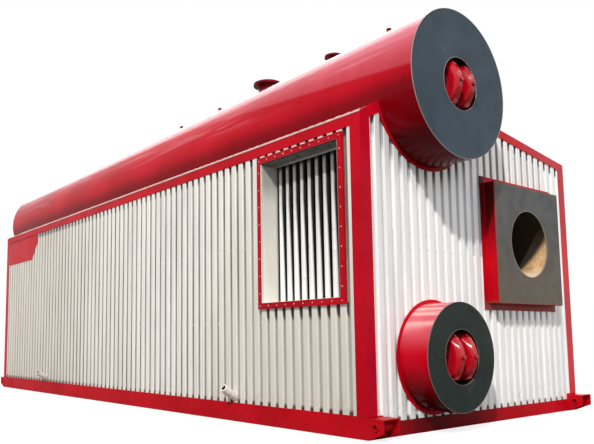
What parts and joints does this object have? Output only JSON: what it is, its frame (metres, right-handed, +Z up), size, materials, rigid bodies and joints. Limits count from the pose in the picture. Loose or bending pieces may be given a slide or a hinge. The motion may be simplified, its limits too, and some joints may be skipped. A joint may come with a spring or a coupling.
{
  "type": "industrial boiler",
  "caption": "Packaged water-tube boiler on a skid frame: ribbed casing, two end-capped drums with manholes, burner port and flue window.",
  "frame": {"origin": "on the ground under the middle of the base frame, at the underside of the middle cross member", "axes": "+Z up, the burner end faces -Y, the flue window side faces -X, the drums run along Y"},
  "size_m": [3.5651, 9.904, 3.8742],
  "materials": {
    "burner_plate_steel": "matt grey-brown primer",
    "refractory": "rough tan refractory",
    "liner_sheet": "plain silver sheet",
    "tube_steel": "silver paint",
    "casing_sheet": "silver-white coated sheet, satin",
    "cover_grey": "dark grey paint, satin",
    "coupling_steel": "bare steel",
    "manhole_red": "gloss red",
    "frame_red": "gloss red",
    "trim_red": "gloss red"
  },
  "bodies": {
    "root": {"base_cross_members": "frame_red", "base_left_flanges": "frame_red", "base_left_webs": "frame_red", "base_right_flanges": "frame_red", "base_right_webs": "frame_red", "burner_box": "trim_red", "burner_plate": "burner_plate_steel", "burner_throat": "refractory", "corner_trims_front": "trim_red", "corner_trims_rear": "trim_red", "deck_plate": "frame_red", "drain_couplings": "coupling_steel", "drum_couplings": "trim_red", "drum_rings_front": "trim_red", "drum_rings_rear": "trim_red", "eaves_trims": "trim_red", "flue_liner": "liner_sheet", "flue_window_frame": "trim_red", "front_wall": "casing_sheet", "gable_trims_front": "trim_red", "gable_trims_rear": "trim_red", "left_wall_front": "casing_sheet", "left_wall_over_window": "casing_sheet", "left_wall_rear": "casing_sheet", "left_wall_under_window": "casing_sheet", "lower_drum_shell": "trim_red", "lower_end_covers": "cover_grey", "lower_heads": "manhole_red", "lower_lagging_blocks": "trim_red", "lower_lagging_sleeves": "trim_red", "lower_manhole_plates": "manhole_red", "lower_yokes": "manhole_red", "name_plate": "trim_red", "rear_wall": "casing_sheet", "right_wall": "casing_sheet", "roof_left": "casing_sheet", "roof_right": "casing_sheet", "safety_valve_nozzle": "trim_red", "steam_outlet_nozzle": "trim_red", "towing_sleeves": "trim_red", "tube_row_inner": "tube_steel", "tube_row_outer": "tube_steel", "upper_drum_shell": "trim_red", "upper_end_covers": "cover_grey", "upper_heads": "manhole_red", "upper_lagging_blocks": "trim_red", "upper_lagging_sleeves": "trim_red", "upper_manhole_plates": "manhole_red", "upper_yokes": "manhole_red"}
  },
  "joints": []
}
